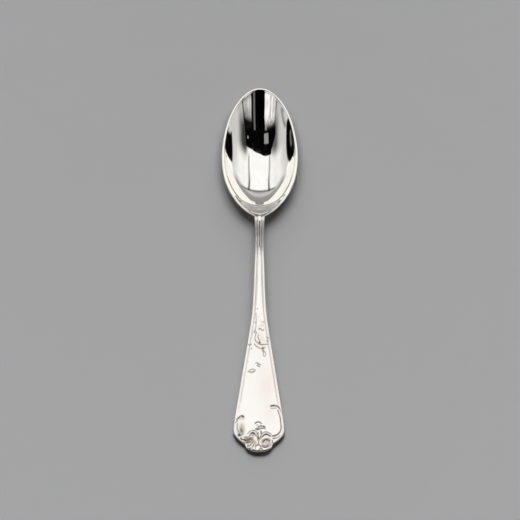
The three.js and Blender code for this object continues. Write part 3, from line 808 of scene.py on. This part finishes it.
tentLook = {  # angles in degrees; a ramp is its start, its end, and the level before and after
    "background": (0.36, 0.36, 0.366, 1.0), "fill": 0.03,
    "sides": (46.0, 64.0, 1.0, 0.7), "right": (-36.0, -27.0, 0.94, 1.0),
    "panel": 1.06, "panelEdge": (22.0, 27.0),
    "overPanel": (-34.0, 41.0, 5.0), "onPanel": (-66.0, -10.0, 3.0),
    "near": (38.0, 56.0, 0.5, 0.64), "nearFront": (-22.0, -6.0), "nearSide": (27.0, 38.0),
    "grey": (-85.0, -64.0, 0.29, 0.40), "glow": (-69.0, 7.0, 0.6),
    "horizon": (-60.0, 4.2, 0.84), "horizonSoft": 3.0, "bend": 0.0075,
    "seams": ((-21.5, 3.9, 0.9, 0.6), (24.5, 3.9, 0.95, 0.62)), "seamFront": (-58.0, -20.0),
    "farSide": (-50.0, -40.0, 1.0, 0.0), "lowBand": (0.16, 0.38, 1.0, 0.0), "lowLevel": 0.34,
    "lowFrom": (24.0, 32.0), "lowTo": (46.0, 60.0, 1.0, 0.0),
    "sweep": (0.055, 0.095, 1.0, 0.0), "sweepLevel": 1.06, "sweepBow": (24.0, -0.055),
    "sweepEnds": (50.0, 62.0, 0.0, -0.12), "sweepGap": (7.5, 1.8, 0.2),
    "front": (56.0, 70.0, 0.05, 0.8), "frontFrom": (24.0, 42.0),
    "smudge": 0.07, "smudgeNoise": (5.0, 3.0), "smudgeFrom": (0.4, 0.75),
    "fold": (-62.0, 0.64, 3.5, 0.6), "foldFront": (-3.0, 20.0, 4.0),
    "windows": (
        {"sign": 1.0, "edge": 71.9, "soft": 3.0, "lean": 0.12, "low": 131.0, "high": 192.5, "top": -10.0},
        {"sign": -1.0, "edge": 66.3, "soft": 2.2, "lean": 0.0, "low": 124.0, "high": 250.0, "top": 1.5},
    ),
    "windowSlant": 3.0, "lowSoft": 4.0, "highSoft": 3.0, "topSoft": 2.5, "windowDepth": 0.998,
    "windowLine": (-73.0, 1.5, 0.17), "lineFront": (-56.0, -22.0, 3.0),
}


def panelLevel(front, side, sideAbs):  # pale panel overhead, greyer cloth to the sides and in front
    t = tentLook
    level = product(rampNode(sideAbs, *t["sides"]), rampNode(side, *t["right"]))
    level = mixLevel(rampNode(sideAbs, *t["panelEdge"]), t["panel"], level)
    near = product(rampNode(front, *t["nearFront"]), rampNode(sideAbs, *t["nearSide"]))
    return mixLevel(near, level, rampNode(sideAbs, *t["near"]))


def addHorizon(level, front, side):  # grey past the panel's far edge, a dark bent line, two seams
    t = tentLook
    overPanel = bandMask(side, *t["overPanel"])
    place, width, glow = t["glow"]
    grey = mixLevel(bumpMask(front, place, width), rampNode(front, *t["grey"]), glow)
    place, width, depth = t["horizon"]
    bent = mathNode("ADD", front, product(side, side, t["bend"]))
    beyond = rampNode(bent, place - t["horizonSoft"], place, 1.0, 0.0)
    level = mixLevel(product(beyond, overPanel), level, grey)
    level = darken(level, product(bumpMask(bent, place, width), overPanel), depth)
    onPanel = bandMask(front, *t["onPanel"])
    for place, width, before, after in t["seams"]:
        depth = rampNode(front, *t["seamFront"], before, after)
        level = darken(level, product(bumpMask(side, place, width), onPanel), depth)
    return level


def addSweep(level, front, side, sideAbs, dz):  # dim low band at the back, bright sweep of the sheet
    t = tentLook
    farSide = rampNode(front, *t["farSide"])
    low = product(rampNode(dz, *t["lowBand"]), rampNode(sideAbs, *t["lowTo"]),
                  farSide, rampNode(sideAbs, *t["lowFrom"]))
    level = mixLevel(low, level, t["lowLevel"])
    width, bow = t["sweepBow"]
    gap, soft, lift = t["sweepGap"]
    lifts = (product(bumpMask(side, 0.0, width), bow),
             rampNode(sideAbs, *t["sweepEnds"]),
             product(bandMask(side, -gap, gap, soft), lift))
    for more in lifts:
        dz = mathNode("ADD", dz, more)
    return mixLevel(product(rampNode(dz, *t["sweep"]), farSide), level, t["sweepLevel"])


def addWindows(level, front, side):  # leaning fold, black openings to both sides, pale line in one
    t = tentLook
    place, lean, width, depth = t["fold"]
    folded = mathNode("SUBTRACT", side, product(front, lean))
    fold = product(bumpMask(folded, place, width), bandMask(front, *t["foldFront"]))
    level = darken(level, fold, depth)
    for w in t["windows"]:
        out = product(side, w["sign"])
        reach = mathNode("SUBTRACT", out, product(front, w["lean"]))
        slant = mathNode("ADD", front, product(out, t["windowSlant"]))
        window = product(rampNode(reach, w["edge"] - w["soft"], w["edge"]),
                         stepAt(slant, w["low"], t["lowSoft"]),
                         stepAt(slant, w["high"], t["highSoft"], 1.0, 0.0),
                         stepAt(front, w["top"], t["topSoft"], 1.0, 0.0))
        level = darken(level, window, t["windowDepth"])
    place, width, high = t["windowLine"]
    line = product(bumpMask(side, place, width), bandMask(front, *t["lineFront"]))
    return mixLevel(line, level, high)


def makeTent():  # white cloth all round, by angle toward the front, angle to the side and height
    t = tentLook
    world = bpy.data.worlds.new("tent")
    scene.world = world
    world.use_nodes = True
    tree = world.node_tree
    place, (dx, dy, dz) = placeOf(tree, "Generated")
    degrees = 180.0 / math.pi
    front = product(mathNode("ARCTAN2", product(dy, -1.0), dz), degrees)
    side = product(mathNode("ARCSINE", dx), degrees)
    sideAbs = mathNode("ABSOLUTE", side)
    level = panelLevel(front, side, sideAbs)
    level = addHorizon(level, front, side)
    level = addSweep(level, front, side, sideAbs, dz)
    inFront = rampNode(front, *t["frontFrom"])
    level = mixLevel(inFront, level, rampNode(front, *t["front"]))
    smudge = noiseNode(place, *t["smudgeNoise"])
    level = darken(level, rampNode(smudge, *t["smudgeFrom"]), t["smudge"])
    level = addWindows(level, front, side)
    path = addNode(tree, "ShaderNodeLightPath").outputs
    onSheet = mathNode("MINIMUM", path["Diffuse Depth"], 1.0)
    level = product(level, mixLevel(onSheet, 1.0, t["fill"]))
    shown = mixColour(path["Is Camera Ray"], greyColour(level), t["background"])
    feedAll(tree.nodes["Background"], {"Color": shown, "Strength": 1.0})


makeTent()

keyLight = {
    "overBowl": {"at": (0.0, 0.055, 0.15), "radius": 0.042, "strength": 153.0},
    "behind": {"at": (-0.005, 0.16, 0.17), "radius": 0.14, "strength": 97.0},
}


def makeKeyLight():  # soft round lamps whose strength grows with distance, so the sheet is lit evenly
    for look in keyLight.values():
        lamp = bpy.data.lights.new("keyLight", "POINT")
        lamp.shadow_soft_size = look["radius"]
        lamp.energy = 1.0
        lamp.use_nodes = True
        tree = lamp.node_tree
        falloff = addNode(tree, "ShaderNodeLightFalloff", {"Strength": look["strength"]}).outputs
        path = addNode(tree, "ShaderNodeLightPath").outputs
        feed(tree.nodes["Emission"].inputs["Strength"], product(falloff["Constant"], path["Ray Length"]))
        obj = newObject("keyLight", lamp)
        obj.location = look["at"]
        obj.visible_glossy = False


makeKeyLight()


def clothObject(name, corners, material):  # one flat polygon that only glossy rays meet
    mesh = bpy.data.meshes.new(name)
    mesh.from_pydata((np.array(corners, float) * toMetres).tolist(), [], [list(range(len(corners)))])
    cloth = newObject(name, mesh)
    mesh.materials.append(material)
    for ray in ("camera", "diffuse", "transmission", "volume_scatter", "shadow"):
        setattr(cloth, "visible_" + ray, False)


def clothMaterial(name):  # glow material without light of its own on the sheet
    mat, tree = newMaterial(name)
    tree.nodes.remove(tree.nodes["Principled BSDF"])
    glow = addNode(tree, "ShaderNodeEmission")
    feed(tree.nodes["Material Output"].inputs["Surface"], glow.outputs[0])
    return mat, tree, glow


def clothPlace(tree, *axes):  # the asked axes of the place on a cloth, in millimetres
    parts = placeOf(tree)[1]
    return [mathNode("DIVIDE", parts[axis], toMetres) for axis in axes]


def plainCard(name, level, corners):  # polygon of one grey
    mat, tree, glow = clothMaterial(name)
    feed(glow.inputs["Color"], (level, level, level, 1.0))
    clothObject(name, corners, mat)


def levelBox(x0, x1, y0, y1, z):  # corners of a level rectangle
    return [(x0, y0, z), (x1, y0, z), (x1, y1, z), (x0, y1, z)]


# the tent's opening over the bowl, seen only in reflections: a dark flat cloth and a cloth hanging from it
overBowl = {
    "height": 150.0, "hangAt": 40.0, "cardDrop": 1.0, "black": 0.001, "vanish": -20.0,
    "flat": [(106, 40), (-112, 40), (-112, 50), (-99, 57), (-72, 68),
             (-68, 74.5), (-16, 74.5), (44, 65), (92, 64.5), (102, 46)],
    "hang": [(110, 150), (39, 40), (-37, 40), (-104, 150)],
    "cards": [(0.3, (-24, -50, 44, 57)), (0.8, (73, 77, 49, 53))],
    "halves": (-0.02, 0.06), "right": (88.0, 140.0, 1.04, 0.01),
    "left": ((64.0, 90.0, 2.0, 0.62), (84.0, 112.0, 1.0, 0.01)),
    "mottle": (26.0, 0.06, 5.0), "mottleLevel": (0.34, 0.6, 0.5, 1.04), "strip": (-0.205, 0.06, 0.33),
    "slitNear": (90.0, 120.0, -0.145, -0.17), "slitSoft": 0.006, "slitFar": (0.245, 0.3, 1.0, 0.0),
    "line": (0.175, 0.045, 0.17), "edges": (-0.56, 0.585, 0.045), "edgeLevel": 0.15,
}


def makeHangingCloth():  # mottled, white below and dark above, with a black slit and dim edges
    o = overBowl
    mat, tree, glow = clothMaterial("hangingCloth")
    x, z = clothPlace(tree, 0, 2)
    fan = mathNode("DIVIDE", x, mathNode("SUBTRACT", z, o["vanish"]))
    left = product(*[rampNode(z, *ramp) for ramp in o["left"]])
    level = mixLevel(rampNode(fan, *o["halves"]), rampNode(z, *o["right"]), left)
    across, along, detail = o["mottle"]
    spread = addNode(tree, "ShaderNodeCombineXYZ", {0: product(fan, across), 1: product(z, along)})
    mottle = noiseNode(spread.outputs[0], 1.0, detail, "2D")
    level = product(level, rampNode(mottle, *o["mottleLevel"]))
    place, width, high = o["strip"]
    level = mathNode("MAXIMUM", level, product(bumpMask(fan, place, width), high))
    past = mathNode("SUBTRACT", fan, rampNode(z, *o["slitNear"]))
    slit = product(stepAt(past, 0.0, o["slitSoft"]), rampNode(fan, *o["slitFar"]))
    place, width, high = o["line"]
    level = mixLevel(slit, level, product(bumpMask(fan, place, width), high))
    level = product(level, mixLevel(bandMask(fan, *o["edges"]), o["edgeLevel"], 1.0))
    feed(glow.inputs["Color"], greyColour(level))
    clothObject("openingHang", [(x, o["hangAt"], z) for x, z in o["hang"]], mat)


def makeClothOverBowl():  # flat black cloth, the hanging one, and two small paler cards under the flat one
    o = overBowl
    plainCard("openingFlat", o["black"], [(x, y, o["height"]) for x, y in o["flat"]])
    makeHangingCloth()
    for i, (level, box) in enumerate(o["cards"]):
        plainCard("openingCard%d" % i, level, levelBox(*box, o["height"] - o["cardDrop"]))


shadeOverBowl = {  # each side: its sign, then the ramps outward that start and end the shade
    "height": 152.0, "box": (-220.0, 220.0, 4.0, 100.0), "alongY": (31.0, 76.0, 12.0),
    "color": (0.01, 0.01, 0.01, 1.0),
    "sides": ((1.0, (66.0, 98.0, 0.0, 0.93), (118.0, 215.0, 1.0, 0.0)),
              (-1.0, (50.0, 84.0, 0.0, 0.78), (108.0, 170.0, 1.0, 0.0))),
}


def makeShade():  # soft dark cloth to each side of the opening, see-through where its mask is 0
    h = shadeOverBowl
    mat, tree, glow = clothMaterial("softShade")
    feed(glow.inputs["Color"], h["color"])
    x, y = clothPlace(tree, 0, 1)
    masks = []
    for sign, rise, fall in h["sides"]:
        out = product(x, sign)
        masks.append(product(rampNode(out, *rise), rampNode(out, *fall)))
    mask = product(mathNode("MAXIMUM", *masks), bandMask(y, *h["alongY"]))
    clear = addNode(tree, "ShaderNodeBsdfTransparent")
    blend = addNode(tree, "ShaderNodeMixShader", {0: mask, 1: clear.outputs[0], 2: glow.outputs[0]})
    feed(tree.nodes["Material Output"].inputs["Surface"], blend.outputs[0])
    clothObject("sideShade", levelBox(*h["box"], h["height"]), mat)


handleCards = {
    "sides": {"level": 0.98, "x": 130.0, "y": (-150.0, 0.0), "z": (4.0, 200.0)},
    "front": [{"level": 0.04, "half": 22.0, "y": -86.0, "z": (0.0, 13.0)},
              {"level": 0.04, "half": 34.0, "y": -112.0, "z": (36.0, 88.0)}],
    "above": [{"level": 1.0, "half": 40.0, "y": (6.0, 21.5), "z": 60.0},
              {"level": 0.17, "half": 14.0, "y": (17.0, 25.5), "z": 25.0}],
}


def makeHandleCards():  # pale cards beside the handle, dark ones in front of its end, two above the stem
    c = handleCards["sides"]
    (y0, y1), (z0, z1) = c["y"], c["z"]
    for name, x in (("cardLeft", -c["x"]), ("cardRight", c["x"])):
        plainCard(name, c["level"], [(x, y0, z0), (x, y1, z0), (x, y1, z1), (x, y0, z1)])
    for i, c in enumerate(handleCards["front"]):
        x, y, (z0, z1) = c["half"], c["y"], c["z"]
        plainCard("frontCard%d" % i, c["level"], [(-x, y, z0), (x, y, z0), (x, y, z1), (-x, y, z1)])
    for i, c in enumerate(handleCards["above"]):
        plainCard("stemCard%d" % i, c["level"], levelBox(-c["half"], c["half"], *c["y"], c["z"]))


makeClothOverBowl()
makeShade()
makeHandleCards()
print("floor, tent, lamps and cards made")

cameraLook = {
    "target": (0.22, 2.0, 5.0), "elevation": 70.0, "distance": 700.0, "lens": 122.5, "roll": 0.18,
    "sensor": 36.0, "clip": (0.01, 20.0),
}


def makeCamera():  # looks at the target from the handle side, raised by the elevation
    c = cameraLook
    cam = bpy.data.cameras.new("photoCamera")
    obj = newObject("photoCamera", cam)
    a = math.radians(c["elevation"])
    away = np.array([0.0, -math.cos(a), math.sin(a)])
    obj.location = (np.array(c["target"]) + away * c["distance"]) * toMetres
    obj.rotation_mode = "ZXY"
    obj.rotation_euler = (math.pi / 2 - a, 0.0, math.radians(c["roll"]))
    cam.lens = c["lens"]
    cam.sensor_width = c["sensor"]
    cam.clip_start, cam.clip_end = c["clip"]
    scene.camera = obj


makeCamera()
scene.view_settings.view_transform = "Standard"
print("camera placed")
